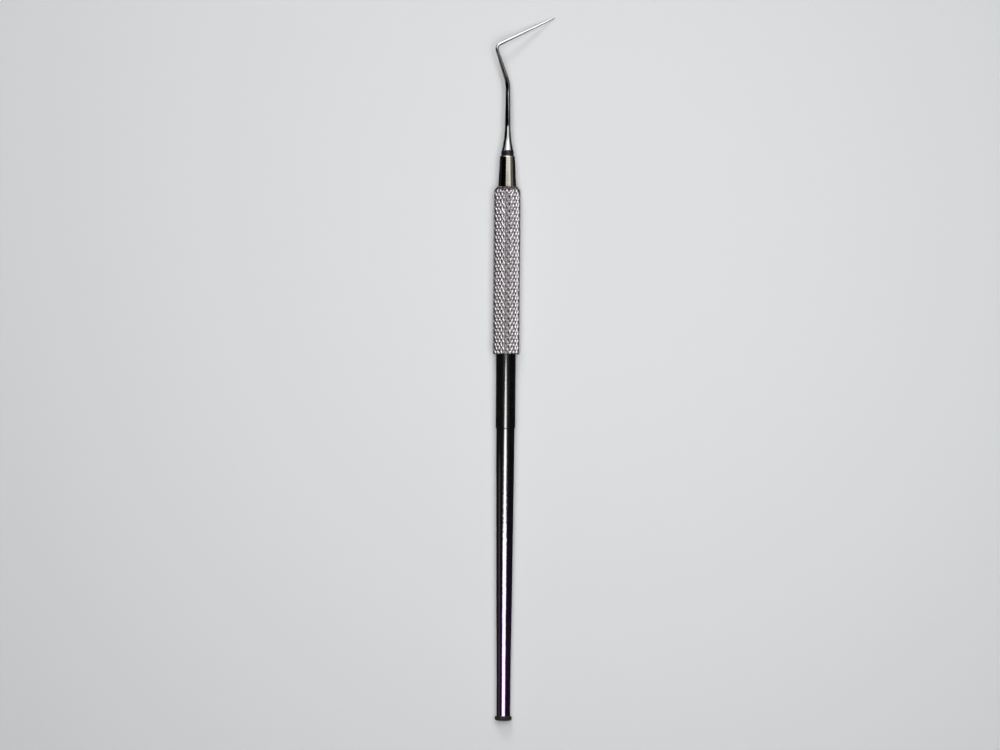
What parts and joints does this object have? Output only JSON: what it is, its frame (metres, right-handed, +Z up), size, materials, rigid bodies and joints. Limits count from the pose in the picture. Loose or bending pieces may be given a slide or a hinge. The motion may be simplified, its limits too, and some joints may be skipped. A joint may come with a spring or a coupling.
{
  "type": "dental explorer",
  "caption": "Single-ended dental explorer: a sharp bent steel point screwed into a tapered ferrule, a knurled round grip and a slim dark handle with a lipped end.",
  "frame": {"origin": "centre of the resting instrument's box, on the table it lies on", "axes": "+X along the instrument, handle to point; +Z up; the needle reaches towards -Y and down to the table"},
  "size_m": [0.167, 0.0142, 0.0068],
  "materials": {
    "handle_black": "gloss black coating with fine scratches",
    "grip_steel": "bright diamond knurl",
    "ferrule_nickel": "turned, worn nickel plate on brass",
    "ring_black": "dull black",
    "point_steel": "hardened steel, polished"
  },
  "bodies": {
    "handle": {"end_cap": "handle_black", "tail_rod": "handle_black", "barrel_tube": "handle_black", "knurled_grip": "grip_steel", "ferrule": "ferrule_nickel"},
    "ring": {"collar_ring": "ring_black"},
    "point": {"explorer_point": "point_steel"}
  },
  "joints": [
    {"name": "point_travel", "type": "slide", "parent": "handle", "child": "ring", "axis": [0.9999, 0, 0.0133], "range_m": [0, 0.00405]},
    {"name": "point_screw", "type": "hinge", "parent": "ring", "child": "point", "pos_m": [0.05017, 0.00399, 0.00377], "axis": [0.9999, 0, 0.0133], "range_deg": [0, 3240]}
  ],
  "couplings": [
    {"joint": "point_screw", "follows": "point_travel", "rad_per_m": 13963}
  ]
}
